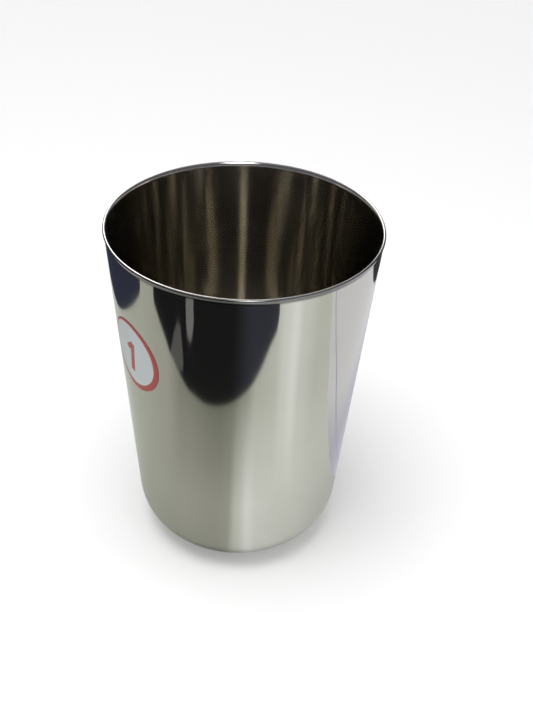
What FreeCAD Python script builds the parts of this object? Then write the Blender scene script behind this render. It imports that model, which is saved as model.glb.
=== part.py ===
import FreeCAD, Part

import math
import os

import Sketcher

# A deep drawn drinking cup with a round label on its wall.
#
# Frame: millimetres, +Z up, origin at the middle of the underside, which lies on Z = 0.
# The cup is a solid of revolution about Z. Its front is the -Y side.

SIZES = {
    # the drawn form, outside
    "height": 102.0,            # underside to the top of the edge
    "mouth_diameter": 74.5,     # the straight wall, extended up to the height of the edge
    "base_diameter": 58.2,      # the straight wall, extended down to the underside
    "nose_radius": 15.0,        # outer radius between underside and wall, left by the punch
    # the sheet
    "wall_thickness": 0.8,      # drawn thin from the blank
    "base_thickness": 0.9,      # near the blank's own thickness
    # the lip, flared outward so that the edge stands proud of the wall
    "lip_radius": 2.0,          # bend radius on the outer side of the flare
    "lip_lean": 35.0,           # degrees from upright at which the flare ends
    "edge_break": 0.25,         # bevel on both corners of the trimmed edge
    # the label, a thin disc that follows the wall
    "label_diameter": 21.6,
    "label_thickness": 0.12,
    "label_height": 72.3,       # middle of the label above the underside
    "label_turn": 214.6,        # degrees about +Z from +X to the middle of the label
}

START, END, CENTRE = range(1, 4)    # which point of a sketch element a constraint holds
X_AXIS, Z_AXIS = range(-1, -3, -1)
ORIGIN = (X_AXIS, START)
UP = FreeCAD.Vector(0, 0, 1)


def point(x, y):
    return FreeCAD.Vector(x, y, 0)


def polar(centre, radius, degrees):
    """The point at this radius and angle round a centre."""
    angle = math.radians(degrees)
    return centre + point(radius * math.cos(angle), radius * math.sin(angle))


def across(centre, outer, inner, degrees):
    """The sheet's outer and inner points on one ray from a centre of bend."""
    return polar(centre, outer, degrees), polar(centre, inner, degrees)


def sheet_of_sizes(doc):
    """One row for each driving dimension: its name, and its value under the same alias."""
    sheet = doc.addObject("Spreadsheet::Sheet", "Sizes")
    for row, (name, value) in enumerate(SIZES.items(), start=1):
        sheet.set("A%d" % row, name)
        sheet.set("B%d" % row, str(value))
        sheet.setAlias("B%d" % row, name)
    doc.recompute()
    return sheet


def new_body(doc, label):
    body = doc.addObject("PartDesign::Body", label)
    body.Label = label
    return body


def new_sketch(body, name, plane_role):
    """A sketch lying flat on one of the body's own origin planes."""
    plane = next(p for p in body.Origin.OriginFeatures if p.Role == plane_role)
    sketch = body.newObject("Sketcher::SketchObject", name)
    sketch.AttachmentSupport = [(plane, "")]
    sketch.MapMode = "FlatFace"
    return sketch


def line(sketch, start, end, construction=False):
    return sketch.addGeometry(Part.LineSegment(start, end), construction)


def arc(sketch, centre, radius, first, last):
    """An arc that runs anticlockwise from the first angle to the last, in degrees."""
    circle = Part.Circle(centre, UP, radius)
    return sketch.addGeometry(Part.ArcOfCircle(circle, math.radians(first), math.radians(last)))


def hold(sketch, kind, *what):
    return sketch.addConstraint(Sketcher.Constraint(kind, *what))


def drive(sketch, name, formula, kind, *what):
    """A named dimension of the sketch, bound to the spreadsheet."""
    index = hold(sketch, kind, *what)
    sketch.renameConstraint(index, name)
    sketch.setExpression("Constraints." + name, formula)


def wall_line(sketch, size):
    """The outer line of the straight wall, from the underside's level to the edge's level."""
    foot = point(size["base_diameter"] / 2, 0)
    head = point(size["mouth_diameter"] / 2, size["height"])
    wall = line(sketch, foot, head, construction=True)
    hold(sketch, "PointOnObject", wall, START, X_AXIS)
    drive(sketch, "wall_foot", "Sizes.base_diameter / 2", "DistanceX", *ORIGIN, wall, START, foot.x)
    drive(sketch, "wall_head", "Sizes.mouth_diameter / 2", "DistanceX", *ORIGIN, wall, END, head.x)
    drive(sketch, "wall_rise", "Sizes.height", "DistanceY", *ORIGIN, wall, END, head.y)
    return wall, foot, head


def cup_section(body, size):
    """Half of the cup's section: underside, nose, wall, lip and edge, then back down inside.

    The lip bends outward round a centre outside the mouth. Its inner side is coined straight.
    The sheet is trimmed square to the lip, and both corners of the cut are broken.
    """
    sketch = new_sketch(body, "CupSection", "XZ_Plane")
    wall, foot, head = wall_line(sketch, size)
    thick = size["wall_thickness"]
    floor = size["base_thickness"]
    nose = size["nose_radius"]
    bend = size["lip_radius"]
    lean = size["lip_lean"]
    broken = size["edge_break"]
    draft = math.degrees(math.atan2(head.x - foot.x, head.y))
    land = thick - 2 * broken

    # where each stretch starts out, before the constraints settle it
    nose_centre = point(foot.x - nose, nose)
    bend_centre = head + point(bend, -2 * thick)
    wall_low, wall_low_inside = across(nose_centre, nose, nose - thick, -draft)
    wall_high, wall_high_inside = across(bend_centre, bend, bend + thick, 180 - draft)
    lip_end, lip_end_inside = across(bend_centre, bend, bend + thick, 180 - lean)
    beyond = polar(point(0, 0), broken, 90 - lean)
    edge_start, edge_end = across(bend_centre + beyond, bend + broken, bend + broken + land, 180 - lean)

    under = line(sketch, point(0, 0), point(nose_centre.x, 0))
    nose_out = arc(sketch, nose_centre, nose, -90, -draft)
    wall_out = line(sketch, wall_low, wall_high)
    lip_out = arc(sketch, bend_centre, bend, 180 - lean, 180 - draft)
    bevel_out = line(sketch, lip_end, edge_start)
    edge = line(sketch, edge_start, edge_end)
    bevel_in = line(sketch, edge_end, lip_end_inside)
    lip_in = line(sketch, lip_end_inside, wall_high_inside)
    wall_in = line(sketch, wall_high_inside, wall_low_inside)
    nose_in = arc(sketch, nose_centre, nose - thick, -90, -draft)
    inside = line(sketch, point(nose_centre.x, floor), point(0, floor))
    axis = line(sketch, point(0, floor), point(0, 0))
    across_wall = line(sketch, wall_high, wall_high_inside, construction=True)
    across_lip = line(sketch, lip_end_inside, lip_end, construction=True)

    hold(sketch, "Coincident", under, START, *ORIGIN)
    hold(sketch, "Horizontal", under)
    hold(sketch, "Horizontal", inside)
    hold(sketch, "PointOnObject", axis, START, Z_AXIS)
    for end in (START, END):
        hold(sketch, "PointOnObject", wall_out, end, wall)

    smooth_joins = [
        (under, END, nose_out, START),
        (nose_out, END, wall_out, START),
        (wall_out, END, lip_out, END),
        (wall_in, END, nose_in, END),
        (nose_in, START, inside, START),
    ]
    for join in smooth_joins:
        hold(sketch, "Tangent", *join)
    corners = [
        (lip_out, START, bevel_out, START),
        (bevel_out, END, edge, START),
        (edge, END, bevel_in, START),
        (bevel_in, END, lip_in, START),
        (lip_in, END, wall_in, START),
        (inside, END, axis, START),
        (axis, END, under, START),
        (across_wall, START, wall_out, END),
        (across_wall, END, wall_in, START),
        (across_lip, START, lip_in, START),
        (across_lip, END, lip_out, START),
    ]
    for corner in corners:
        hold(sketch, "Coincident", *corner)

    hold(sketch, "Perpendicular", across_wall, wall_out)
    hold(sketch, "Parallel", wall_in, wall_out)
    hold(sketch, "PointOnObject", lip_out, CENTRE, across_lip)
    hold(sketch, "Parallel", edge, across_lip)
    hold(sketch, "Equal", bevel_out, bevel_in)

    drive(sketch, "nose_outside", "Sizes.nose_radius", "Radius", nose_out, nose)
    drive(sketch, "nose_inside", "Sizes.nose_radius - Sizes.wall_thickness", "Radius", nose_in, nose - thick)
    drive(sketch, "sheet_at_wall", "Sizes.wall_thickness", "Distance", across_wall, thick)
    drive(sketch, "sheet_at_lip", "Sizes.wall_thickness", "Distance", across_lip, thick)
    drive(sketch, "lip_bend", "Sizes.lip_radius", "Radius", lip_out, bend)
    drive(sketch, "lip_slant", "-Sizes.lip_lean * 1 deg", "Angle", across_lip, math.radians(-lean))
    drive(sketch, "edge_width", "Sizes.wall_thickness - 2 * Sizes.edge_break", "Distance", edge, land)
    drive(sketch, "edge_depth", "Sizes.edge_break", "Distance", edge, START, across_lip, broken)
    drive(sketch, "edge_level", "Sizes.height", "DistanceY", *ORIGIN, edge, END, size["height"])
    drive(sketch, "floor_level", "Sizes.base_thickness", "DistanceY", *ORIGIN, axis, START, floor)
    return sketch


def make_cup(doc, size):
    """The cup, drawn from one blank: its section turned once round the axis."""
    body = new_body(doc, "cup")
    section = cup_section(body, size)
    turned = body.newObject("PartDesign::Revolution", "DrawnCup")
    turned.Profile = section
    turned.ReferenceAxis = (section, ["V_Axis"])
    turned.Angle = 360
    section.Visibility = False
    return body


def label_strip(body, size):
    """Section of a strip lying on the wall, twice as long as the label."""
    sketch = new_sketch(body, "LabelStrip", "XZ_Plane")
    wall, foot, head = wall_line(sketch, size)
    level = size["label_height"]
    length = 2 * size["label_diameter"]
    thick = size["label_thickness"]
    along = (head - foot).normalize()
    outward = point(along.y, -along.x)
    middle_at = foot + along * (level / along.y)
    low = middle_at - along * (length / 2)
    high = middle_at + along * (length / 2)

    inner = line(sketch, low, high)
    top = line(sketch, high, high + outward * thick)
    outer = line(sketch, high + outward * thick, low + outward * thick)
    bottom = line(sketch, low + outward * thick, low)
    middle = sketch.addGeometry(Part.Point(middle_at), True)

    sides = [inner, top, outer, bottom]
    for side, following in zip(sides, sides[1:] + sides[:1]):
        hold(sketch, "Coincident", side, END, following, START)
    for end in (START, END):
        hold(sketch, "PointOnObject", inner, end, wall)
    hold(sketch, "Symmetric", inner, START, inner, END, middle, START)
    hold(sketch, "Parallel", inner, outer)
    hold(sketch, "Perpendicular", inner, top)
    hold(sketch, "Perpendicular", inner, bottom)
    drive(sketch, "strip_level", "Sizes.label_height", "DistanceY", *ORIGIN, middle, START, level)
    drive(sketch, "strip_length", "2 * Sizes.label_diameter", "Distance", inner, length)
    drive(sketch, "strip_thickness", "Sizes.label_thickness", "Distance", top, thick)
    return sketch


def label_outline(body, size):
    """The waste round the label: a square, wider than the cup, without the label's circle."""
    sketch = new_sketch(body, "LabelOutline", "YZ_Plane")
    radius = size["label_diameter"] / 2
    waste = size["mouth_diameter"] + size["label_diameter"]
    middle = point(0, size["label_height"])
    corners = [polar(middle, waste / math.sqrt(2), quarter) for quarter in (45, 135, 225, 315)]

    circle = sketch.addGeometry(Part.Circle(middle, UP, radius))
    sides = [line(sketch, a, b) for a, b in zip(corners, corners[1:] + corners[:1])]
    for side, following in zip(sides, sides[1:] + sides[:1]):
        hold(sketch, "Coincident", side, END, following, START)
    for side in sides[0::2]:
        hold(sketch, "Horizontal", side)
    for side in sides[1::2]:
        hold(sketch, "Vertical", side)
    hold(sketch, "Equal", sides[0], sides[1])
    hold(sketch, "Symmetric", sides[0], START, sides[2], START, circle, CENTRE)
    hold(sketch, "PointOnObject", circle, CENTRE, Z_AXIS)
    drive(sketch, "label_round", "Sizes.label_diameter / 2", "Radius", circle, radius)
    drive(sketch, "label_level", "Sizes.label_height", "DistanceY", *ORIGIN, circle, CENTRE, middle.y)
    drive(sketch, "waste_side", "Sizes.mouth_diameter + Sizes.label_diameter",
          "DistanceX", sides[0], END, sides[0], START, waste)
    return sketch


def make_label(doc, size):
    """The label, cut round from a strip bent half way round the wall, then turned to its place."""
    body = new_body(doc, "round_label")
    strip = label_strip(body, size)
    bent = body.newObject("PartDesign::Revolution", "BentStrip")
    bent.Profile = strip
    bent.ReferenceAxis = (strip, ["V_Axis"])
    bent.Midplane = True
    bent.Angle = 180
    outline = label_outline(body, size)
    cut = body.newObject("PartDesign::Pocket", "RoundCut")
    cut.Profile = outline
    cut.Type = "ThroughAll"
    cut.Midplane = True
    body.setExpression("Placement.Rotation.Angle", "Sizes.label_turn * 1 deg")
    for sketch in (strip, outline):
        sketch.Visibility = False
    return body


def check(doc, pieces):
    """Stop if any object failed, a sketch is left loose, or a piece isn't one sound solid."""
    for item in doc.Objects:
        if "Invalid" in item.State or "Error" in item.State:
            raise RuntimeError("%s failed: %s" % (item.Label, item.State))
        if item.isDerivedFrom("Sketcher::SketchObject") and not item.FullyConstrained:
            raise RuntimeError("%s isn't fully constrained" % item.Label)
    for piece in pieces:
        shape = piece.Shape
        if shape.isNull() or not shape.isValid() or len(shape.Solids) != 1:
            raise RuntimeError("%s isn't one valid solid" % piece.Label)


def main():
    doc = FreeCAD.newDocument("DrawnCup")
    sheet_of_sizes(doc)
    pieces = [make_cup(doc, SIZES), make_label(doc, SIZES)]
    doc.recompute()
    check(doc, pieces)
    os.makedirs("parts", exist_ok=True)
    for piece in pieces:
        piece.Shape.exportStep("parts/%s.step" % piece.Label)
        box = piece.Shape.BoundBox
        print("%s: %.1f mm3, X %.2f..%.2f  Y %.2f..%.2f  Z %.2f..%.2f" % (
            piece.Label, piece.Shape.Volume, box.XMin, box.XMax, box.YMin, box.YMax, box.ZMin, box.ZMax))


main()
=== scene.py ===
"""Polished drawn metal cup with a round printed label, its materials, and the stage it stands on."""

import math

import bmesh
import bpy
from mathutils import Matrix, Vector


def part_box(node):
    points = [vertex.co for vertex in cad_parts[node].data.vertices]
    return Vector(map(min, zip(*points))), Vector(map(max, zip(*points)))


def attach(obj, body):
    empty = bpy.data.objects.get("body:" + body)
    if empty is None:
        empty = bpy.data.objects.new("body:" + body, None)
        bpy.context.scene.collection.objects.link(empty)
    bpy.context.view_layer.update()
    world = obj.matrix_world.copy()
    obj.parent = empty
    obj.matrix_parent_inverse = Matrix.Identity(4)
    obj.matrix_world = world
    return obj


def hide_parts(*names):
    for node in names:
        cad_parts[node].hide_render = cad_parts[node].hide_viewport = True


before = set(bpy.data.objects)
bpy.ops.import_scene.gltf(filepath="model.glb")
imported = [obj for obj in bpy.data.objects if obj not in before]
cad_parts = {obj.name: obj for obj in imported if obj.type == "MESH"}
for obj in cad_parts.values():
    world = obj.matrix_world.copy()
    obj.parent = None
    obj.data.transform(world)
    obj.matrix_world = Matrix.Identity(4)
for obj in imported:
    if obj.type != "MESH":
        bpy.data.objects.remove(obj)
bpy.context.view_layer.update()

bl_info = {
    "name": "Drawn Metal Cup",
    "version": (1, 0, 0),
    "blender": (4, 5, 0),
    "location": "3D View > Sidebar > Cup",
    "description": "Makes a polished drawn metal cup, its round label and a plain stage",
    "category": "Add Mesh",
}

WELD = 1e-6  # points of the section closer than this are one point

# Outlines on the floor of what stands round the cup and shows in its polish, in metres.
FRONT_CARD = [
    (-2.0000, -0.2790), (-0.1405, -0.0442), (-0.1332, -0.0436), (-0.1287, -0.0466), (-0.1243, -0.0489),
    (-0.1201, -0.0507), (-0.1154, -0.0537), (-0.1068, -0.0573), (-0.0985, -0.0599), (-0.0928, -0.0638),
    (-0.0676, -0.0730), (-0.0567, -0.0786), (-0.0432, -0.0839), (-0.0306, -0.0890), (-0.0180, -0.0936),
    (-0.0052, -0.0977), (0.0097, -0.1016), (0.0223, -0.1054), (0.0321, -0.1089), (0.0402, -0.1125),
    (0.0494, -0.1154), (0.0595, -0.1176), (0.0646, -0.1222), (0.0684, -0.1278), (0.0760, -0.1400),
    (0.5700, -1.9800), (-0.8300, -2.0000), (-2.0000, -1.2100),
]
FRONT_GLINTS = [
    [(-0.1015, -0.1079), (-0.0895, -0.1180), (-0.0812, -0.1081), (-0.0788, -0.1002), (-0.0794, -0.0948),
     (-0.0850, -0.0930), (-0.0911, -0.0968)],
    [(-0.1035, -0.0847), (-0.0979, -0.0875), (-0.0895, -0.0825), (-0.0818, -0.0779), (-0.0789, -0.0735),
     (-0.0840, -0.0668), (-0.0920, -0.0636), (-0.0985, -0.0605), (-0.1011, -0.0685), (-0.1032, -0.0744)],
]
LEFT_CARD = [
    (-2.0000, -0.0970), (-0.1514, -0.0104), (-0.1463, -0.0070), (-0.1432, -0.0027), (-0.1392, 0.0084),
    (-0.1348, 0.0196), (-0.1299, 0.0310), (-0.1242, 0.0429), (-0.1171, 0.0554), (-0.1086, 0.0688),
    (-0.0992, 0.0832), (-0.0907, 0.0986), (-0.0780, 0.1250), (-0.5000, 2.0000), (-2.0000, 1.8200),
]
BACK_CARD = [
    (0.3000, 2.0000), (0.0672, 0.1480), (0.0743, 0.1412), (0.0783, 0.1357), (0.0830, 0.1258), (0.0980, 0.1120),
    (0.1136, 0.1025), (0.1205, 0.0997), (0.1269, 0.0970), (0.1329, 0.0944), (0.1600, 0.0850), (2.0000, 0.3600),
    (2.0000, 2.0000),
]
SIDE_SHEET = [
    (0.0330, 0.0140), (0.0477, 0.0056), (0.0581, 0.0011), (0.0666, -0.0020), (0.0775, -0.0073), (0.0880, -0.0149),
    (0.0983, -0.0183), (0.1087, -0.0235), (0.1190, -0.0305), (0.1297, -0.0358), (0.1401, -0.0441),
    (2.0000, -0.9100), (2.0000, 0.6100), (0.1330, 0.0940), (0.0780, 0.1220), (0.0500, 0.1600),
]
SIDE_FOLD = [
    (0.1500, -0.0390), (0.1399, -0.0311), (0.1317, -0.0241), (0.1207, -0.0154), (0.1093, -0.0062), (0.0975, 0.0006),
    (0.0857, 0.0052), (0.0732, 0.0099), (0.0603, 0.0131), (0.0479, 0.0166), (0.0400, 0.0200),
]
# How bright the floor shows in the polish, by direction round the cup in degrees from the front: close to the cup,
# and further out.
NEAR_SHADES = [(-180, 0.75), (-136, 0.66), (-112, 0.55), (-80, 0.50), (-48, 0.46), (-16, 0.42), (-8, 0.45), (0, 0.74),
               (8, 1.0), (16, 0.90), (40, 0.86), (80, 0.80), (120, 0.70), (180, 0.75)]
FAR_SHADES = [(-180, 0.75), (-136, 0.56), (-96, 0.51), (-64, 0.45), (-48, 0.30), (-16, 0.20), (-6, 0.24), (4, 0.40),
              (14, 0.62), (26, 0.68), (35, 0.86), (42, 0.98), (50, 0.80), (64, 0.69), (180, 0.75)]
NEAR, FAR = 0.052, 0.100  # where the near shades end and the far ones begin
SHADE_TINT = (0.95, 1.0, 0.795)  # colour of the floor in the polish where it is darkest
SHADE_BLUE_GAIN = 0.21  # how much less yellow it is where it is brightest
PANEL_DISTANCE = 1.5
# Soft light panels, seen from the cup's mouth in degrees: direction from the back towards the right, width, lowest
# and highest elevation, brightness at the bottom and at the top.
PANELS = [("back_panel", -11.0, 46.0, 20.0, 44.0, 5.5, 12.5), ("front_panel", 174.0, 40.0, 25.0, 46.0, 7.0, 25.0)]
PANEL_COLOUR = (1.0, 1.0, 1.05)
PANEL_FALL = 1.5  # how fast a panel dims from its middle to its sides
PANEL_RISE = 2.0  # how late it brightens towards its top
CANOPY = [(3.0, 0.25), (3.0, 2.6), (0.0, 3.4)]  # skirt and ceiling: radius and height, from the skirt's foot up
CANOPY_STEPS = 48
SKIRT_COLOUR = (1.0, 0.98, 1.2)
CEILING_COLOUR = (1.0, 0.98, 1.05)

ROUND_STEPS = 96  # sides of the floor and of the shade on it
FLOOR_RADIUS, SHADE_RADIUS = 4.0, 2.2
FOLD_WIDTH = 0.0022
# Heights of the flat stage pieces, each a little above the last.
FLOOR_LEVEL, SHADE_LEVEL, SHEET_LEVEL = -0.00002, 0.0001, 0.0002
FOLD_LEVEL, CARD_LEVEL, GLINT_LEVEL = 0.0003, 0.0004, 0.0005
# The floor's own light where it is seen, close by and far out, and the distances it changes between.
FLOOR_LIFT_NEAR, FLOOR_LIFT_FAR = 0.18, 0.60
FLOOR_LIFT_FROM, FLOOR_LIFT_TO = 0.25, 1.6
# Colours of the cards, and the places along x where two of them change to a second colour.
DARK_CARD_RIGHT, DARK_CARD_CHANGE = (0.042, 0.046, 0.062), (-0.018, 0.022)
SHEET_RIGHT, SHEET_CHANGE = (0.80, 0.81, 0.855), (0.055, 0.095)
FOLD_COLOUR = (0.50, 0.52, 0.66)
BROWN_COLOUR = (0.045, 0.045, 0.045)
SOFT_GLINT_COLOUR = (0.120, 0.122, 0.122)
BRIGHT_GLINT_COLOUR = (0.22, 0.22, 0.22)

LAMP_PLACE, LAMP_AIM, LAMP_SIZE = (-0.1, -0.15, 0.9), (0.0, 0.0, 0.05), (0.5, 0.5)
CAMERA_PLACE = (0.0, -0.249957, 0.241066)
CAMERA_YAW, CAMERA_PITCH, CAMERA_ROLL = math.radians(1.68), math.radians(36.08), math.radians(2.63)
CAMERA_LENS, CAMERA_SENSOR = 54.24, 36.0  # in millimetres
GLOSSY_BOUNCES = 12  # light turns many times inside the cup before it leaves

LINE_SPREAD = 18.0  # how often the polishing lines change on their way round the cup, per metre
LINE_HAZE = 0.35  # share of the roughness that comes and goes with the lines
CLEAN_HAZE, MARKED_HAZE = 0.9, 1.35  # roughness between the handling marks and on them
STAIN_COLOUR, STAIN_SHARE = (0.40, 0.36, 0.30), 0.10
LIP_SHADE_START, LIP_SHADE_END = 0.3, 0.4  # shares of the painted shade line's width over which it begins and ends

RING_HEAVY_SIDE = math.radians(-35.0)  # side of the label where the printed ring is widest
# Measures of the print, as shares of the label's diameter.
PRINT_SOFTNESS = 0.008
PRINT_WANDER = 0.012
# Bars of the numeral one: middle, turn from upright, and (width, length).
STEM_BAR = ((0.50, 0.47), math.radians(-8.0), (0.085, 0.46))
FLAG_BAR = ((0.47, 0.64), math.radians(-52.0), (0.075, 0.17))
PAPER_MARK_COLOUR, PAPER_MARK_SHARE = (0.50, 0.50, 0.47), 0.12


def corner(node, end):
    """Lowest (end 0) or highest (end 1) corner of a solid, in metres."""
    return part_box(node)[end]


class CupSizes(bpy.types.PropertyGroup):
    height: bpy.props.FloatProperty(
        name="Height", description="From the underside to the top of the rim",
        default=corner("cup", 1).z, min=0.01, unit="LENGTH")
    mouth_diameter: bpy.props.FloatProperty(
        name="Mouth Diameter", description="Across the straight wall, run on to the height of the rim",
        default=0.0745, min=0.01, unit="LENGTH")
    base_diameter: bpy.props.FloatProperty(
        name="Base Diameter", description="Across the straight wall, run down to the underside",
        default=0.0582, min=0.01, unit="LENGTH")
    nose_radius: bpy.props.FloatProperty(
        name="Nose Radius", description="Outside radius between the wall and the underside",
        default=0.015, min=0.001, unit="LENGTH")
    wall_thickness: bpy.props.FloatProperty(
        name="Wall Thickness", description="Sheet thickness of the wall", default=0.0008, min=0.0001, unit="LENGTH")
    base_thickness: bpy.props.FloatProperty(
        name="Base Thickness", description="Sheet thickness of the base", default=0.0009, min=0.0001, unit="LENGTH")
    lip_radius: bpy.props.FloatProperty(
        name="Lip Radius", description="Outside radius that turns the edge outwards",
        default=0.002, min=0.0001, unit="LENGTH")
    lip_lean: bpy.props.FloatProperty(
        name="Lip Lean", description="Lean of the sheet from upright at the edge",
        default=math.radians(31.6), unit="ROTATION", subtype="ANGLE")
    turn_steps: bpy.props.IntProperty(
        name="Turn Steps", description="Faces round the cup", default=288, min=16, max=512)


class SteelLook(bpy.types.PropertyGroup):
    colour: bpy.props.FloatVectorProperty(
        name="Steel Colour", description="Colour of the polished steel", subtype="COLOR", size=3,
        default=(0.62, 0.60, 0.55), min=0.0, max=1.0)
    roughness: bpy.props.FloatProperty(
        name="Roughness", description="Haze left by the polishing wheel", default=0.055, min=0.0, max=1.0,
        subtype="FACTOR")
    anisotropy: bpy.props.FloatProperty(
        name="Anisotropy", description="How far highlights stretch across the polishing lines",
        default=0.88, min=0.0, max=1.0, subtype="FACTOR")
    inside_haze: bpy.props.FloatProperty(
        name="Inside Haze", description="How many times hazier the inside is", default=1.8, min=0.1)
    lip_place: bpy.props.FloatProperty(
        name="Lip Place",
        description="Distance along the section, from the middle of the inside, to the top of the lip",
        default=0.125, unit="LENGTH")
    # Painted shade: the dark line under the lip's edge is shade painted into the steel's colour.
    lip_shade_width: bpy.props.FloatProperty(
        name="Lip Shade Width", description="Width of the painted shade line under the edge of the lip", default=0.0016,
        min=0.0001, unit="LENGTH")
    lip_shade_colour: bpy.props.FloatVectorProperty(
        name="Lip Shade Colour", description="Colour of the painted shade line", subtype="COLOR", size=3,
        default=(0.22, 0.215, 0.21), min=0.0, max=1.0)
    line_spacing: bpy.props.FloatProperty(
        name="Line Spacing", description="Distance between polishing lines", default=0.0004, min=0.00005,
        unit="LENGTH")


class LabelSizes(bpy.types.PropertyGroup):
    diameter: bpy.props.FloatProperty(
        name="Diameter", description="Across the label when flat",
        default=corner("round_label", 1).z - corner("round_label", 0).z, min=0.002, unit="LENGTH")
    thickness: bpy.props.FloatProperty(
        name="Thickness", description="Thickness of the label", default=0.00012, min=0.00002, unit="LENGTH")
    height: bpy.props.FloatProperty(
        name="Height", description="Height of the label's centre",
        default=(corner("round_label", 1).z + corner("round_label", 0).z) / 2, unit="LENGTH")
    turn: bpy.props.FloatProperty(
        name="Turn", description="Direction the label faces, about the cup's axis", default=math.radians(214.6),
        unit="ROTATION", subtype="ANGLE")
    ring_width: bpy.props.FloatProperty(
        name="Ring Width", description="Width of the printed ring at the label's edge", default=0.00125,
        unit="LENGTH")
    ring_shift: bpy.props.FloatProperty(
        name="Ring Shift", description="How far the ring's bare middle sits off the label's centre", default=0.0006,
        unit="LENGTH")
    # Painted shade: the paper's grey stands for white paper in shade.
    shaded_paper_colour: bpy.props.FloatVectorProperty(
        name="Shaded Paper Colour", description="Colour of the bare label, greyed by painted shade", subtype="COLOR", size=3,
        default=(0.56, 0.61, 0.62), min=0.0, max=1.0)
    print_colour: bpy.props.FloatVectorProperty(
        name="Print Colour", description="Colour of the printed ring and numeral", subtype="COLOR", size=3,
        default=(0.39, 0.022, 0.012), min=0.0, max=1.0)


class StageLook(bpy.types.PropertyGroup):
    floor_colour: bpy.props.FloatVectorProperty(
        name="Floor Colour", description="Colour of the floor", subtype="COLOR", size=3,
        default=(0.82, 0.82, 0.82), min=0.0, max=1.0)
    dark_colour: bpy.props.FloatVectorProperty(
        name="Dark Colour", description="Colour of the dark cards round the cup", subtype="COLOR", size=3,
        default=(0.014, 0.014, 0.015), min=0.0, max=1.0)
    navy_colour: bpy.props.FloatVectorProperty(
        name="Navy Colour", description="Colour of the navy card to the left", subtype="COLOR", size=3,
        default=(0.036, 0.041, 0.068), min=0.0, max=1.0)
    sheet_colour: bpy.props.FloatVectorProperty(
        name="Sheet Colour", description="Colour of the bluish white sheet beside the cup", subtype="COLOR", size=3,
        default=(0.57, 0.575, 0.665), min=0.0, max=1.0)
    lamp_power: bpy.props.FloatProperty(
        name="Lamp Power", description="Power of the soft lamp overhead, in watts", default=5.2, min=0.0)
    world_strength: bpy.props.FloatProperty(
        name="World Strength", description="Strength of the light from all round", default=0.55, min=0.0)
    skirt_strength: bpy.props.FloatProperty(
        name="Skirt Strength", description="Brightness of the skirt below the ceiling, as the polish shows it",
        default=0.12, min=0.0)
    ceiling_strength: bpy.props.FloatProperty(
        name="Ceiling Strength", description="Brightness of the ceiling, as the polish shows it", default=0.38,
        min=0.0)
    panel_strength: bpy.props.FloatProperty(
        name="Panel Strength", description="Brightness of the light panels, as the polish shows them", default=1.0,
        min=0.0)


# ---------------------------------------------------------------------------------------------
# Nodes
# ---------------------------------------------------------------------------------------------


def add_node(tree, kind, inputs=(), **settings):
    """A node with its settings, and its inputs set or linked."""
    node = tree.nodes.new(kind)
    for name, value in settings.items():
        setattr(node, name, value)
    for key, value in dict(inputs).items():
        if isinstance(value, bpy.types.NodeSocket):
            tree.links.new(value, node.inputs[key])
        else:
            node.inputs[key].default_value = value
    return node


def calc(tree, operation, *values, clamp=False):
    """Output of a Math node."""
    return add_node(tree, "ShaderNodeMath", dict(enumerate(values)), operation=operation, use_clamp=clamp).outputs[0]


def vector(tree, x=0.0, y=0.0, z=0.0):
    """Output of a Combine XYZ node."""
    return add_node(tree, "ShaderNodeCombineXYZ", {0: x, 1: y, 2: z}).outputs[0]


def new_group(name, kind, inputs, outputs):
    """Node group with named sockets, given as (name, socket type, default).

    Returns the group, the sockets of its input node and its output node.
    """
    group = bpy.data.node_groups.new(name, kind)
    for label, socket_type, default in inputs:
        socket = group.interface.new_socket(label, in_out="INPUT", socket_type="NodeSocket" + socket_type)
        if default is not None:
            socket.default_value = default
    for label, socket_type in outputs:
        group.interface.new_socket(label, in_out="OUTPUT", socket_type="NodeSocket" + socket_type)
    return group, group.nodes.new("NodeGroupInput").outputs, group.nodes.new("NodeGroupOutput")


def new_material(name):
    """Material with an empty node tree and its output node."""
    material = bpy.data.materials.new(name)
    material.use_nodes = True
    material.node_tree.nodes.clear()
    return material, material.node_tree, material.node_tree.nodes.new("ShaderNodeOutputMaterial")


# ---------------------------------------------------------------------------------------------
# Cup
# ---------------------------------------------------------------------------------------------


def bend_group():
    """Geometry node group: an arc of the section, as a chain of edges."""
    tree, given, made = new_group(
        "Section bend", "GeometryNodeTree",
        [("Centre", "Vector", None), ("Radius", "Float", 0.01), ("From", "Float", 0.0), ("To", "Float", 1.0),
         ("Steps", "Int", 16)],
        [("Section", "Geometry")])
    index = add_node(tree, "GeometryNodeInputIndex").outputs[0]
    share = calc(tree, "DIVIDE", index, given["Steps"])
    angle = calc(tree, "ADD", given["From"], calc(
        tree, "MULTIPLY", share, calc(tree, "SUBTRACT", given["To"], given["From"])))
    along = vector(tree, calc(tree, "COSINE", angle), calc(tree, "SINE", angle))
    place = add_node(tree, "ShaderNodeVectorMath", {0: along, "Scale": given["Radius"]}, operation="SCALE").outputs[0]
    place = add_node(tree, "ShaderNodeVectorMath", {0: place, 1: given["Centre"]}, operation="ADD").outputs[0]
    chain = add_node(tree, "GeometryNodeMeshLine", {"Count": calc(tree, "ADD", given["Steps"], 1.0)}).outputs[0]
    moved = add_node(tree, "GeometryNodeSetPosition", {"Geometry": chain, "Position": place}).outputs[0]
    tree.links.new(moved, made.inputs[0])
    return tree


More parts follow.
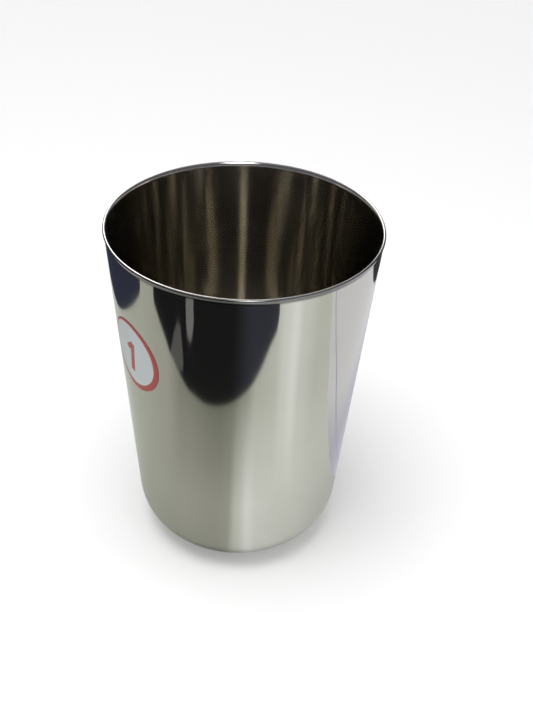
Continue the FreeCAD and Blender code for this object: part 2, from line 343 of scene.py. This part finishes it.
def cup_tree():
    """Geometry node tree: the cup's section, drawn from its sizes and turned about the axis."""
    tree, given, made = new_group(
        "Turned cup", "GeometryNodeTree",
        [("Height", "Float", 0.1), ("Mouth Diameter", "Float", 0.075), ("Base Diameter", "Float", 0.058),
         ("Nose Radius", "Float", 0.015), ("Wall Thickness", "Float", 0.0008), ("Base Thickness", "Float", 0.0009),
         ("Lip Radius", "Float", 0.002), ("Lip Lean", "Float", 0.55), ("Turn Steps", "Int", 256),
         ("Material", "Material", None)],
        [("Mesh", "Geometry")])
    bend = bend_group()

    def run(operation, *values):
        return calc(tree, operation, *values)

    def bent(centre, radius, start, end, steps):
        return add_node(tree, "GeometryNodeGroup", {
            "Centre": centre, "Radius": radius, "From": start, "To": end, "Steps": steps}, node_tree=bend).outputs[0]

    def straight(start, end, steps):
        return add_node(tree, "GeometryNodeMeshLine", {"Count": steps + 1, "Start Location": start, "Offset": end},
                        mode="END_POINTS", count_mode="TOTAL").outputs[0]

    def beside(centre, radius, angle):
        """Point at an angle on a circle, and its x and y."""
        return vector(tree, run("MULTIPLY_ADD", run("COSINE", angle), radius, centre[0]),
                      run("MULTIPLY_ADD", run("SINE", angle), radius, centre[1]))

    height, thick, nose, lip, lean = (
        given["Height"], given["Wall Thickness"], given["Nose Radius"], given["Lip Radius"], given["Lip Lean"])
    base = run("MULTIPLY", given["Base Diameter"], 0.5)
    slope = run("DIVIDE", run("SUBTRACT", run("MULTIPLY", given["Mouth Diameter"], 0.5), base), height)
    taper = run("ARCTANGENT", slope)
    taper_cos = run("COSINE", taper)
    wall_side = run("DIVIDE", thick, taper_cos)
    down = run("MULTIPLY", taper, -1.0)
    back = run("SUBTRACT", math.pi, taper)
    lean_back = run("SUBTRACT", math.pi, lean)

    # The lip bends about one centre outside the wall, and the edge is rounded on the sheet's middle.
    lip_middle = run("MULTIPLY_ADD", thick, 0.5, lip)
    edge_y = run("MULTIPLY_ADD", thick, -0.5, height)
    bend_y = run("SUBTRACT", edge_y, run("MULTIPLY", lip_middle, run("SINE", lean)))
    leave_y = run("MULTIPLY_ADD", lip, run("SINE", taper), bend_y)
    leave_x = run("MULTIPLY_ADD", slope, leave_y, base)
    bend_x = run("MULTIPLY_ADD", lip, taper_cos, leave_x)
    edge_x = run("SUBTRACT", bend_x, run("MULTIPLY", lip_middle, run("COSINE", lean)))
    lip_inside = run("ADD", lip, thick)
    lip_centre, edge_centre = vector(tree, bend_x, bend_y), vector(tree, edge_x, edge_y)

    # The nose runs from the underside into the wall, with one more arc on the inside.
    def nose_centre(radius, floor, side):
        y = run("ADD", floor, radius)
        x = run("SUBTRACT", run("MULTIPLY_ADD", slope, y, base), run("ADD", run("DIVIDE", radius, taper_cos), side))
        return x, y

    nose_inside = run("SUBTRACT", nose, thick)
    outer_nose = nose_centre(nose, 0.0, 0.0)
    inner_nose = nose_centre(nose_inside, given["Base Thickness"], wall_side)

    stretches = [
        straight((0.0, 0.0, 0.0), vector(tree, outer_nose[0]), 6),
        bent(vector(tree, *outer_nose), nose, -math.pi / 2, down, 40),
        straight(beside(outer_nose, nose, down), vector(tree, leave_x, leave_y), 32),
        bent(lip_centre, lip, back, lean_back, 10),
        bent(edge_centre, run("MULTIPLY", thick, 0.5), run("MULTIPLY", lean, -1.0), lean_back, 12),
        bent(lip_centre, lip_inside, lean_back, back, 10),
        straight(beside((bend_x, bend_y), lip_inside, back), beside(inner_nose, nose_inside, down), 32),
        bent(vector(tree, *inner_nose), nose_inside, down, -math.pi / 2, 40),
        straight(vector(tree, inner_nose[0], given["Base Thickness"]), vector(tree, 0.0, given["Base Thickness"]), 6),
    ]
    joined = add_node(tree, "GeometryNodeJoinGeometry")
    for stretch in stretches:
        tree.links.new(stretch, joined.inputs[0])
    chain = add_node(tree, "GeometryNodeMergeByDistance", {"Geometry": joined.outputs[0], "Distance": WELD}).outputs[0]
    section = add_node(tree, "GeometryNodeMeshToCurve", {0: chain}).outputs[0]
    length = add_node(tree, "GeometryNodeSplineParameter").outputs["Length"]
    section = add_node(tree, "GeometryNodeStoreNamedAttribute", {
        "Geometry": section, "Name": "along", "Value": length}, data_type="FLOAT", domain="POINT").outputs[0]
    aside = add_node(tree, "ShaderNodeVectorMath", {
        0: add_node(tree, "GeometryNodeInputPosition").outputs[0], 1: vector(tree, base)},
        operation="SUBTRACT").outputs[0]
    aside = add_node(tree, "ShaderNodeVectorMath", {0: aside, 1: (1.0, -1.0, 1.0)}, operation="MULTIPLY").outputs[0]
    section = add_node(tree, "GeometryNodeSetPosition", {"Geometry": section, "Position": aside}).outputs[0]
    circle = add_node(tree, "GeometryNodeCurvePrimitiveCircle", {
        "Resolution": given["Turn Steps"], "Radius": base}).outputs[0]
    turned = add_node(tree, "GeometryNodeCurveToMesh", {"Curve": circle, "Profile Curve": section}).outputs[0]
    turned = add_node(tree, "GeometryNodeMergeByDistance", {"Geometry": turned, "Distance": WELD}).outputs[0]
    smooth = add_node(tree, "GeometryNodeSetShadeSmooth", {"Geometry": turned}).outputs[0]
    real = add_node(tree, "GeometryNodeRealizeInstances", {"Geometry": smooth}).outputs[0]
    done = add_node(tree, "GeometryNodeSetMaterial", {"Geometry": real, "Material": given["Material"]}).outputs[0]
    tree.links.new(done, made.inputs[0])
    return tree


def mesh_from_tree(name, tree, values):
    """Object with the plain mesh that a geometry node tree makes from its named inputs."""
    piece = bpy.data.objects.new(name, bpy.data.meshes.new(name))
    bpy.context.scene.collection.objects.link(piece)
    modifier = piece.modifiers.new(name, "NODES")
    modifier.node_group = tree
    for item in tree.interface.items_tree:
        if item.in_out == "INPUT" and item.name in values:
            modifier[item.identifier] = values[item.name]
    mesh = bpy.data.meshes.new_from_object(piece.evaluated_get(bpy.context.evaluated_depsgraph_get()))
    piece.modifiers.remove(modifier)
    piece.data = mesh
    mesh.name = name
    return piece


def check_shell(piece):
    """Stops the script if a piece has open edges or faces that point inwards."""
    shell = bmesh.new()
    shell.from_mesh(piece.data)
    loose = sum(1 for edge in shell.edges if not edge.is_manifold)
    volume = shell.calc_volume(signed=True)
    shell.free()
    if loose or volume <= 0.0:
        raise RuntimeError(f"{piece.name}: {loose} open edges, volume {volume * 1e9:.1f} cubic mm")
    print(f"{piece.name}: volume {volume * 1e9:.1f} cubic mm, {len(piece.data.vertices)} points")


def blotch_group():
    """Shader node group: soft cloudy marks, left by handling. Shared by the steel and the label."""
    tree, given, made = new_group(
        "Handling marks", "ShaderNodeTree",
        [("Scale", "Float", 60.0), ("Cover", "Float", 0.5), ("Softness", "Float", 0.2)],
        [("Mask", "Float")])
    place = add_node(tree, "ShaderNodeTexCoord").outputs["Object"]
    cloud = add_node(tree, "ShaderNodeTexNoise", {
        "Vector": place, "Scale": given["Scale"], "Detail": 4.0, "Roughness": 0.6, "Distortion": 0.3},
        noise_dimensions="3D").outputs[0]
    mask = calc(tree, "DIVIDE", calc(tree, "SUBTRACT", cloud, given["Cover"]), given["Softness"], clamp=True)
    tree.links.new(mask, made.inputs[0])
    return tree


def steel_material(look):
    """Polished steel: hazier inside, a dark line of painted shade under the lip, fine lines round it, faint marks from
    handling.
    """
    material, tree, out = new_material("Polished steel")
    place = add_node(tree, "ShaderNodeTexCoord").outputs["Object"]
    axes = add_node(tree, "ShaderNodeSeparateXYZ", {0: place}).outputs
    along = add_node(tree, "ShaderNodeAttribute", attribute_name="along").outputs["Fac"]
    lines = add_node(tree, "ShaderNodeTexNoise", {
        "Vector": vector(
            tree, calc(tree, "MULTIPLY", axes[0], LINE_SPREAD), calc(tree, "MULTIPLY", axes[1], LINE_SPREAD),
            calc(tree, "MULTIPLY", along, 1.0 / look.line_spacing)),
        "Scale": 1.0, "Detail": 3.0, "Roughness": 0.6}, noise_dimensions="3D").outputs[0]
    marks = add_node(tree, "ShaderNodeGroup", {"Scale": 42.0, "Cover": 0.50, "Softness": 0.22},
                     node_tree=blotch_group()).outputs[0]
    haze = add_node(tree, "ShaderNodeMapRange", {
        0: marks, 3: look.roughness * CLEAN_HAZE, 4: look.roughness * MARKED_HAZE}).outputs[0]
    haze = calc(tree, "MULTIPLY_ADD", calc(tree, "SUBTRACT", lines, 0.5), look.roughness * LINE_HAZE, haze)
    inside = add_node(tree, "ShaderNodeMapRange", {
        0: along, 1: look.lip_place - 0.001, 2: look.lip_place, 3: look.inside_haze, 4: 1.0}).outputs[0]
    haze = calc(tree, "MULTIPLY", haze, inside)
    stain = add_node(tree, "ShaderNodeMapRange", {0: marks, 3: 0.0, 4: STAIN_SHARE}).outputs[0]
    tint = add_node(tree, "ShaderNodeMix", {
        0: stain, 6: (*look.colour, 1.0), 7: (*STAIN_COLOUR, 1.0)}, data_type="RGBA").outputs[2]
    # Painted shade: a dark line mixed into the steel's colour just under the lip's edge.
    past_lip = calc(tree, "SUBTRACT", along, look.lip_place)
    begun = calc(tree, "DIVIDE", past_lip, look.lip_shade_width * LIP_SHADE_START, clamp=True)
    past_lip_shade = calc(tree, "SUBTRACT", past_lip, look.lip_shade_width)
    ended = calc(tree, "DIVIDE", past_lip_shade, look.lip_shade_width * LIP_SHADE_END, clamp=True)
    lip_shade = calc(tree, "SUBTRACT", begun, ended)
    tint = add_node(tree, "ShaderNodeMix", {
        0: lip_shade, 6: tint, 7: (*look.lip_shade_colour, 1.0)}, data_type="RGBA").outputs[2]
    steel = add_node(tree, "ShaderNodeBsdfPrincipled", {
        "Base Color": tint, "Metallic": 1.0, "Roughness": haze,
        "Anisotropic": look.anisotropy, "Anisotropic Rotation": 0.25})
    tree.links.new(steel.outputs[0], out.inputs[0])
    return material


class CUP_OT_make_cup(bpy.types.Operator):
    """Turn the cup's section into one polished piece"""

    bl_idname = "cup.make_cup"
    bl_label = "Make Cup"

    def execute(self, context):
        sizes = context.scene.cup_sizes
        cup = mesh_from_tree("drawn_cup", cup_tree(), {
            "Height": sizes.height,
            "Mouth Diameter": sizes.mouth_diameter,
            "Base Diameter": sizes.base_diameter,
            "Nose Radius": sizes.nose_radius,
            "Wall Thickness": sizes.wall_thickness,
            "Base Thickness": sizes.base_thickness,
            "Lip Radius": sizes.lip_radius,
            "Lip Lean": sizes.lip_lean,
            "Turn Steps": sizes.turn_steps,
            "Material": steel_material(context.scene.steel_look),
        })
        check_shell(cup)
        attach(cup, "root")
        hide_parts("cup")
        return {"FINISHED"}


# ---------------------------------------------------------------------------------------------
# Label
# ---------------------------------------------------------------------------------------------


def label_mesh(name, cup, label):
    """The round label, cut flat and wrapped on the wall, with its flat shape kept as a UV map."""
    slope = (cup.mouth_diameter - cup.base_diameter) / 2 / cup.height
    taper = math.atan(slope)
    reach = (cup.base_diameter / 2 + slope * label.height) / math.sin(taper)

    def wrapped(across, up, off):
        """Place on the wall of a point of the flat label, off the steel by some distance."""
        from_tip = math.hypot(across, reach + up)
        turn = label.turn + math.atan2(across, reach + up) / math.sin(taper)
        radius = from_tip * math.sin(taper)
        height = (radius - cup.base_diameter / 2) / slope
        radius, height = radius + off * math.cos(taper), height - off * math.sin(taper)
        return Vector((radius * math.cos(turn), radius * math.sin(turn), height))

    steps, outer, thick = 96, label.diameter / 2, label.thickness
    edge = 0.35 * thick
    rings = [(outer * share, thick) for share in (0.15, 0.3, 0.45, 0.6, 0.72, 0.82, 0.9, 0.96)]
    rings += [(outer - edge, thick), (outer - 0.3 * edge, thick - 0.3 * edge), (outer, thick - edge), (outer, 0.0)]
    rings += [(outer * share, 0.0) for share in (0.75, 0.5, 0.25)]
    shell = bmesh.new()
    flat = shell.loops.layers.uv.new("Flat label")
    place = {}

    def point(across, up, off):
        vert = shell.verts.new(wrapped(across, up, off))
        place[vert] = (across, up)
        return vert

    turns = [2 * math.pi * i / steps for i in range(steps)]
    loops = [[point(radius * math.cos(t), radius * math.sin(t), off) for t in turns] for radius, off in rings]
    front, rear = point(0.0, 0.0, thick), point(0.0, 0.0, 0.0)
    for i in range(steps):
        j = (i + 1) % steps
        shell.faces.new((front, loops[0][i], loops[0][j]))
        shell.faces.new((rear, loops[-1][j], loops[-1][i]))
        for near, far in zip(loops, loops[1:]):
            shell.faces.new((near[i], far[i], far[j], near[j]))
    for face in shell.faces:
        face.smooth = True
        for loop in face.loops:
            across, up = place[loop.vert]
            loop[flat].uv = (0.5 + across / label.diameter, 0.5 + up / label.diameter)
    mesh = bpy.data.meshes.new(name)
    shell.to_mesh(mesh)
    shell.free()
    return mesh


def bar_mask(tree, axes, centre, turn, size, soft):
    """Mask of a straight printed bar: its middle, its turn from upright, and its (width, length)."""
    x = calc(tree, "SUBTRACT", axes[0], centre[0])
    y = calc(tree, "SUBTRACT", axes[1], centre[1])
    side = calc(tree, "ADD", calc(tree, "MULTIPLY", x, math.cos(turn)), calc(tree, "MULTIPLY", y, math.sin(turn)))
    up = calc(tree, "SUBTRACT", calc(tree, "MULTIPLY", y, math.cos(turn)), calc(tree, "MULTIPLY", x, math.sin(turn)))
    away = calc(tree, "MAXIMUM",
                calc(tree, "SUBTRACT", calc(tree, "ABSOLUTE", side), size[0] / 2),
                calc(tree, "SUBTRACT", calc(tree, "ABSOLUTE", up), size[1] / 2))
    return calc(tree, "SUBTRACT", 0.5, calc(tree, "DIVIDE", away, soft), clamp=True)


def label_material(label):
    """Coated paper, white greyed by painted shade, with a red ring and a plain numeral one."""
    material, tree, out = new_material("Printed label")
    flat = add_node(tree, "ShaderNodeUVMap", uv_map="Flat label").outputs[0]
    wander = add_node(tree, "ShaderNodeTexNoise", {"Vector": flat, "Scale": 5.0, "Detail": 2.0}).outputs[1]
    wander = add_node(tree, "ShaderNodeVectorMath", {0: wander, 1: (0.5, 0.5, 0.5)}, operation="SUBTRACT").outputs[0]
    wander = add_node(tree, "ShaderNodeVectorMath", {0: wander, "Scale": PRINT_WANDER}, operation="SCALE").outputs[0]
    inked = add_node(tree, "ShaderNodeVectorMath", {0: flat, 1: wander}, operation="ADD").outputs[0]
    axes = add_node(tree, "ShaderNodeSeparateXYZ", {0: inked}).outputs
    shift = label.ring_shift / label.diameter
    middle = (0.5 - shift * math.cos(RING_HEAVY_SIDE), 0.5 - shift * math.sin(RING_HEAVY_SIDE))
    from_middle = calc(tree, "SQRT", calc(
        tree, "ADD", calc(tree, "POWER", calc(tree, "SUBTRACT", axes[0], middle[0]), 2.0),
        calc(tree, "POWER", calc(tree, "SUBTRACT", axes[1], middle[1]), 2.0)))
    ring_inside = 0.5 - label.ring_width / label.diameter
    past_ring = calc(tree, "DIVIDE", calc(tree, "SUBTRACT", from_middle, ring_inside), PRINT_SOFTNESS)
    ring = calc(tree, "ADD", past_ring, 0.5, clamp=True)
    stem = bar_mask(tree, axes, *STEM_BAR, PRINT_SOFTNESS)
    flag = bar_mask(tree, axes, *FLAG_BAR, PRINT_SOFTNESS)
    ink = calc(tree, "MAXIMUM", ring, calc(tree, "MAXIMUM", stem, flag))
    grain = add_node(tree, "ShaderNodeTexNoise", {"Vector": flat, "Scale": 60.0, "Detail": 4.0}).outputs[0]
    cover = add_node(tree, "ShaderNodeMapRange", {0: grain, 1: 0.3, 2: 0.7, 3: 0.88, 4: 1.0}).outputs[0]
    ink = calc(tree, "MULTIPLY", ink, cover)
    marks = add_node(tree, "ShaderNodeGroup", {"Scale": 130.0, "Cover": 0.48, "Softness": 0.3},
                     node_tree=bpy.data.node_groups["Handling marks"]).outputs[0]
    # Painted shade: the paper colour is white greyed to look shaded.
    paper = add_node(tree, "ShaderNodeMix", {
        0: calc(tree, "MULTIPLY", marks, PAPER_MARK_SHARE), 6: (*label.shaded_paper_colour, 1.0),
        7: (*PAPER_MARK_COLOUR, 1.0)}, data_type="RGBA").outputs[2]
    colour = add_node(tree, "ShaderNodeMix", {
        0: ink, 6: paper, 7: (*label.print_colour, 1.0)}, data_type="RGBA").outputs[2]
    lift = calc(tree, "ADD", calc(tree, "MULTIPLY", grain, 0.4), ink)
    bump = add_node(tree, "ShaderNodeBump", {"Strength": 0.3, "Distance": 0.00002, "Height": lift}).outputs[0]
    gloss = add_node(tree, "ShaderNodeMapRange", {0: ink, 3: 0.38, 4: 0.30}).outputs[0]
    sheet = add_node(tree, "ShaderNodeBsdfPrincipled", {"Base Color": colour, "Roughness": gloss, "Normal": bump})
    tree.links.new(sheet.outputs[0], out.inputs[0])
    return material


class CUP_OT_make_label(bpy.types.Operator):
    """Wrap the round printed label on the cup's wall"""

    bl_idname = "cup.make_label"
    bl_label = "Make Label"

    def execute(self, context):
        scene = context.scene
        label = bpy.data.objects.new("wrapped_label", label_mesh("wrapped_label", scene.cup_sizes, scene.label_sizes))
        scene.collection.objects.link(label)
        label.data.materials.append(label_material(scene.label_sizes))
        check_shell(label)
        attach(label, "root")
        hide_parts("round_label")
        return {"FINISHED"}


# ---------------------------------------------------------------------------------------------
# Stage
# ---------------------------------------------------------------------------------------------


def stage_mesh(name, points, faces, material):
    """Stage piece from its points and faces."""
    mesh = bpy.data.meshes.new(name)
    mesh.from_pydata(points, [], faces)
    mesh.materials.append(material)
    piece = bpy.data.objects.new(name, mesh)
    bpy.context.scene.collection.objects.link(piece)
    return piece


def flat_piece(name, outline, height, material):
    """Flat stage piece with the given outline, facing up."""
    return stage_mesh(name, [(x, y, height) for x, y in outline], [range(len(outline))], material)


def light_panel(name, direction, width, low, high, material):
    """Upright panel that faces the cup's mouth, given by the angles it covers there, in degrees."""
    mouth, steps = corner("cup", 1).z, 8
    turns = [math.radians(direction + width * (i / steps - 0.5)) for i in range(steps + 1)]
    levels = [mouth + PANEL_DISTANCE * math.tan(math.radians(angle)) for angle in (low, high)]
    points = [(PANEL_DISTANCE * math.sin(t), PANEL_DISTANCE * math.cos(t), z) for z in levels for t in turns]
    faces = [(i, i + 1, i + 2 + steps, i + 1 + steps) for i in range(steps)]
    panel = stage_mesh(name, points, faces, material)
    flat = panel.data.uv_layers.new(name="Flat panel")
    for loop in panel.data.loops:
        up, across = divmod(loop.vertex_index, steps + 1)
        flat.data[loop.index].uv = (across / steps, up)
    return panel


def canopy(outline, skirt, ceiling):
    """Ceiling with a skirt, turned from its outline, each with its own material."""
    steps = CANOPY_STEPS
    turns = [2 * math.pi * i / steps for i in range(steps)]
    points = [(radius * math.cos(t), radius * math.sin(t), height) for radius, height in outline[:-1] for t in turns]
    points.append((0.0, 0.0, outline[-1][1]))
    top = len(points) - 1
    faces = []
    for i in range(steps):
        j = (i + 1) % steps
        faces.append((i, i + steps, j + steps, j))
        faces.append((top, j + steps, i + steps))
    cover = stage_mesh("canopy", points, faces, skirt)
    cover.data.materials.append(ceiling)
    for face in cover.data.polygons:
        face.material_index = 1 if top in face.vertices else 0
    return cover


def seen_ray(tree):
    """One for rays that show a background: from the camera, or by way of polish or glass."""
    ray = add_node(tree, "ShaderNodeLightPath").outputs
    return calc(tree, "MAXIMUM", ray["Is Camera Ray"], calc(
        tree, "MAXIMUM", ray["Is Glossy Ray"], ray["Is Transmission Ray"]))


def floor_material(look):
    """Matt floor, paler to the camera and in polished surfaces, and more so far out where the lamp is weak."""
    material, tree, out = new_material("Pale floor")
    matt = add_node(tree, "ShaderNodeBsdfDiffuse", {"Color": (*look.floor_colour, 1.0)}).outputs[0]
    place = add_node(tree, "ShaderNodeTexCoord").outputs["Object"]
    away = add_node(tree, "ShaderNodeVectorMath", {0: place}, operation="LENGTH").outputs["Value"]
    lift = add_node(tree, "ShaderNodeMapRange", {
        0: away, 1: FLOOR_LIFT_FROM, 2: FLOOR_LIFT_TO, 3: FLOOR_LIFT_NEAR, 4: FLOOR_LIFT_FAR},
        interpolation_type="SMOOTHSTEP").outputs[0]
    pale = add_node(tree, "ShaderNodeEmission", {"Color": (1.0, 1.0, 1.0, 1.0), "Strength": lift}).outputs[0]
    both = add_node(tree, "ShaderNodeAddShader", {0: matt, 1: pale}).outputs[0]
    shown = add_node(tree, "ShaderNodeMixShader", {0: seen_ray(tree), 1: matt, 2: both}).outputs[0]
    tree.links.new(shown, out.inputs[0])
    return material


def card_material(name, colour, strength=1.0, far_colour=None, change=(0.0, 1.0)):
    """Evenly bright card, as it shows in the polish. Its colour may change across it, between two places along x."""
    material, tree, out = new_material(name)
    shown = (*colour, 1.0)
    if far_colour is not None:
        place = add_node(tree, "ShaderNodeTexCoord").outputs["Object"]
        across = add_node(tree, "ShaderNodeSeparateXYZ", {0: place}).outputs[0]
        share = add_node(tree, "ShaderNodeMapRange", {0: across, 1: change[0], 2: change[1]},
                         interpolation_type="SMOOTHSTEP").outputs[0]
        shown = add_node(tree, "ShaderNodeMix", {0: share, 6: shown, 7: (*far_colour, 1.0)},
                         data_type="RGBA").outputs[2]
    glow = add_node(tree, "ShaderNodeEmission", {"Color": shown, "Strength": strength}).outputs[0]
    tree.links.new(glow, out.inputs[0])
    return material


def panel_material(name, colour, bottom, top):
    """Light panel, brightest along its middle and towards its top."""
    material, tree, out = new_material(name)
    flat = add_node(tree, "ShaderNodeUVMap", uv_map="Flat panel").outputs[0]
    axes = add_node(tree, "ShaderNodeSeparateXYZ", {0: flat}).outputs
    aside = calc(tree, "ABSOLUTE", calc(tree, "MULTIPLY_ADD", axes[0], 2.0, -1.0))
    across = calc(tree, "POWER", calc(tree, "SUBTRACT", 1.0, aside, clamp=True), PANEL_FALL)
    up = calc(tree, "MULTIPLY_ADD", calc(tree, "POWER", axes[1], PANEL_RISE), top - bottom, bottom)
    glow = add_node(tree, "ShaderNodeEmission", {
        "Color": (*colour, 1.0), "Strength": calc(tree, "MULTIPLY", across, up)}).outputs[0]
    edge = add_node(tree, "ShaderNodeBsdfTransparent").outputs[0]
    both = add_node(tree, "ShaderNodeAddShader", {0: glow, 1: edge}).outputs[0]
    tree.links.new(both, out.inputs[0])
    return material


def ribbon(line, width):
    """Outline of a narrow band that follows a line on the floor."""
    points = [Vector(point) for point in line]
    sides = []
    for i, point in enumerate(points):
        ahead = (points[min(i + 1, len(points) - 1)] - points[max(i - 1, 0)]).normalized()
        sides.append(Vector((-ahead.y, ahead.x)) * width / 2)
    return [p + q for p, q in zip(points, sides)] + [p - q for p, q in reversed(list(zip(points, sides)))]


def shade_material():
    """Clear sheet that dims the floor in the polish, by direction round the cup and by distance from it."""
    material, tree, out = new_material("Floor shade")
    place = add_node(tree, "ShaderNodeTexCoord").outputs["Object"]
    axes = add_node(tree, "ShaderNodeSeparateXYZ", {0: place}).outputs
    turn = calc(tree, "ARCTAN2", axes[0], calc(tree, "MULTIPLY", axes[1], -1.0))
    share = calc(tree, "MULTIPLY_ADD", turn, 0.5 / math.pi, 0.5)

    def shade_ramp(shades):
        ramp = add_node(tree, "ShaderNodeValToRGB", {0: share})
        ramp.color_ramp.interpolation = "EASE"
        stops = ramp.color_ramp.elements
        while len(stops) < len(shades):
            stops.new(0.5)
        for stop, (degrees, shade) in zip(stops, shades):
            stop.position = 0.5 + degrees / 360.0
            red, green, blue = SHADE_TINT
            stop.color = (shade * red, shade * green, shade * (blue + SHADE_BLUE_GAIN * shade), 1.0)
        return ramp.outputs[0]

    away = add_node(tree, "ShaderNodeVectorMath", {0: place}, operation="LENGTH").outputs["Value"]
    far = add_node(tree, "ShaderNodeMapRange", {0: away, 1: NEAR, 2: FAR}).outputs[0]
    shown = add_node(tree, "ShaderNodeMix", {0: far, 6: shade_ramp(NEAR_SHADES), 7: shade_ramp(FAR_SHADES)},
                     data_type="RGBA").outputs[2]
    clear = add_node(tree, "ShaderNodeBsdfTransparent", {0: shown}).outputs[0]
    tree.links.new(clear, out.inputs[0])
    return material


def glossy_only(piece):
    """The piece shows only in polished surfaces."""
    piece.visible_camera = False
    piece.visible_diffuse = False
    piece.visible_transmission = False
    piece.visible_volume_scatter = False
    piece.visible_shadow = False


def add_lamp(name, place, aim, size, power):
    """Soft white rectangular lamp at a place, turned to face another."""
    lamp = bpy.data.lights.new(name, "AREA")
    lamp.shape = "RECTANGLE"
    lamp.size, lamp.size_y = size
    lamp.energy = power
    holder = bpy.data.objects.new(name, lamp)
    holder.location = place
    holder.rotation_euler = (Vector(aim) - Vector(place)).to_track_quat("-Z", "Y").to_euler()
    bpy.context.scene.collection.objects.link(holder)
    return holder


def set_world(look):
    """Even pale light from all round, white where the camera and the polish see it."""
    world = bpy.data.worlds.new("Soft light")
    bpy.context.scene.world = world
    world.use_nodes = True
    tree = world.node_tree
    tree.nodes.clear()
    out = tree.nodes.new("ShaderNodeOutputWorld")
    strength = add_node(tree, "ShaderNodeMapRange", {0: seen_ray(tree), 3: look.world_strength, 4: 1.0}).outputs[0]
    light = add_node(tree, "ShaderNodeBackground", {"Color": (1.0, 1.0, 1.0, 1.0), "Strength": strength}).outputs[0]
    tree.links.new(light, out.inputs[0])


def add_camera():
    """Camera above the front of the cup, looking down into its mouth."""
    yaw, pitch, roll = CAMERA_YAW, CAMERA_PITCH, CAMERA_ROLL
    ahead = Vector((math.sin(yaw) * math.cos(pitch), math.cos(yaw) * math.cos(pitch), -math.sin(pitch)))
    right = ahead.cross(Vector((0.0, 0.0, 1.0))).normalized()
    above = right.cross(ahead)
    side = right * math.cos(roll) + above * math.sin(roll)
    top = above * math.cos(roll) - right * math.sin(roll)
    camera = bpy.data.cameras.new("Camera")
    camera.lens = CAMERA_LENS
    camera.sensor_width = CAMERA_SENSOR
    camera.clip_start = 0.01
    holder = bpy.data.objects.new("Camera", camera)
    holder.matrix_world = Matrix.Translation(CAMERA_PLACE) @ Matrix((side, top, -ahead)).transposed().to_4x4()
    bpy.context.scene.collection.objects.link(holder)
    bpy.context.scene.camera = holder


class CUP_OT_make_stage(bpy.types.Operator):
    """Set up the floor, the cards round the cup, the lamps, the world and the camera"""

    bl_idname = "cup.make_stage"
    bl_label = "Make Stage"

    def execute(self, context):
        scene, look = context.scene, context.scene.stage_look
        turns = [2 * math.pi * i / ROUND_STEPS for i in range(ROUND_STEPS)]

        def disc(radius):
            return [(radius * math.cos(t), radius * math.sin(t)) for t in turns]

        flat_piece("floor", disc(FLOOR_RADIUS), FLOOR_LEVEL, floor_material(look))
        dark = card_material("Dark card", look.dark_colour, far_colour=DARK_CARD_RIGHT, change=DARK_CARD_CHANGE)
        navy = card_material("Navy card", look.navy_colour)
        brown = card_material("Brown card", BROWN_COLOUR)
        soft_glint = card_material("Soft glint", SOFT_GLINT_COLOUR)
        bright_glint = card_material("Bright glint", BRIGHT_GLINT_COLOUR)
        pale = card_material("Bluish sheet", look.sheet_colour, far_colour=SHEET_RIGHT, change=SHEET_CHANGE)
        fold = card_material("Sheet fold", FOLD_COLOUR)
        for name, outline, height, material in (
                ("side_sheet", SIDE_SHEET, SHEET_LEVEL, pale),
                ("side_fold", ribbon(SIDE_FOLD, FOLD_WIDTH), FOLD_LEVEL, fold),
                ("front_card", FRONT_CARD, CARD_LEVEL, dark),
                ("left_card", LEFT_CARD, CARD_LEVEL, navy),
                ("back_card", BACK_CARD, CARD_LEVEL, brown),
                ("front_glint_1", FRONT_GLINTS[0], GLINT_LEVEL, bright_glint),
                ("front_glint_2", FRONT_GLINTS[1], GLINT_LEVEL, soft_glint),
                ("floor_shade", disc(SHADE_RADIUS), SHADE_LEVEL, shade_material())):
            glossy_only(flat_piece(name, outline, height, material))
        for name, direction, width, low, high, bottom, top in PANELS:
            glow = panel_material(name, PANEL_COLOUR, bottom * look.panel_strength, top * look.panel_strength)
            glossy_only(light_panel(name, direction, width, low, high, glow))
        skirt = card_material("Dark skirt", SKIRT_COLOUR, look.skirt_strength)
        ceiling = card_material("Grey ceiling", CEILING_COLOUR, look.ceiling_strength)
        glossy_only(canopy(CANOPY, skirt, ceiling))
        lamp = add_lamp("Soft lamp", LAMP_PLACE, LAMP_AIM, LAMP_SIZE, look.lamp_power)
        lamp.visible_glossy = False
        set_world(look)
        add_camera()
        scene.view_settings.view_transform = "Standard"
        scene.cycles.glossy_bounces = GLOSSY_BOUNCES
        return {"FINISHED"}


class CUP_PT_panel(bpy.types.Panel):
    """Sizes, colours and makers of the cup"""

    bl_idname = "CUP_PT_panel"
    bl_label = "Drawn Metal Cup"
    bl_space_type = "VIEW_3D"
    bl_region_type = "UI"
    bl_category = "Cup"

    def draw(self, context):
        for group, operators in (
                ("cup_sizes", ()), ("steel_look", ("cup.make_cup",)), ("label_sizes", ("cup.make_label",)),
                ("stage_look", ("cup.make_stage",))):
            settings = getattr(context.scene, group)
            box = self.layout.box()
            for name in settings.bl_rna.properties.keys():
                if name not in ("rna_type", "name"):
                    box.prop(settings, name)
            for operator in operators:
                box.operator(operator)


CLASSES = (CupSizes, SteelLook, LabelSizes, StageLook, CUP_OT_make_cup, CUP_OT_make_label, CUP_OT_make_stage,
           CUP_PT_panel)
GROUPS = {"cup_sizes": CupSizes, "steel_look": SteelLook, "label_sizes": LabelSizes, "stage_look": StageLook}


def register():
    for kind in CLASSES:
        bpy.utils.register_class(kind)
    for name, kind in GROUPS.items():
        setattr(bpy.types.Scene, name, bpy.props.PointerProperty(type=kind))


def unregister():
    for name in GROUPS:
        delattr(bpy.types.Scene, name)
    for kind in reversed(CLASSES):
        bpy.utils.unregister_class(kind)


def main():
    register()
    bpy.ops.cup.make_cup()
    bpy.ops.cup.make_label()
    bpy.ops.cup.make_stage()


if __name__ == "__main__":
    main()
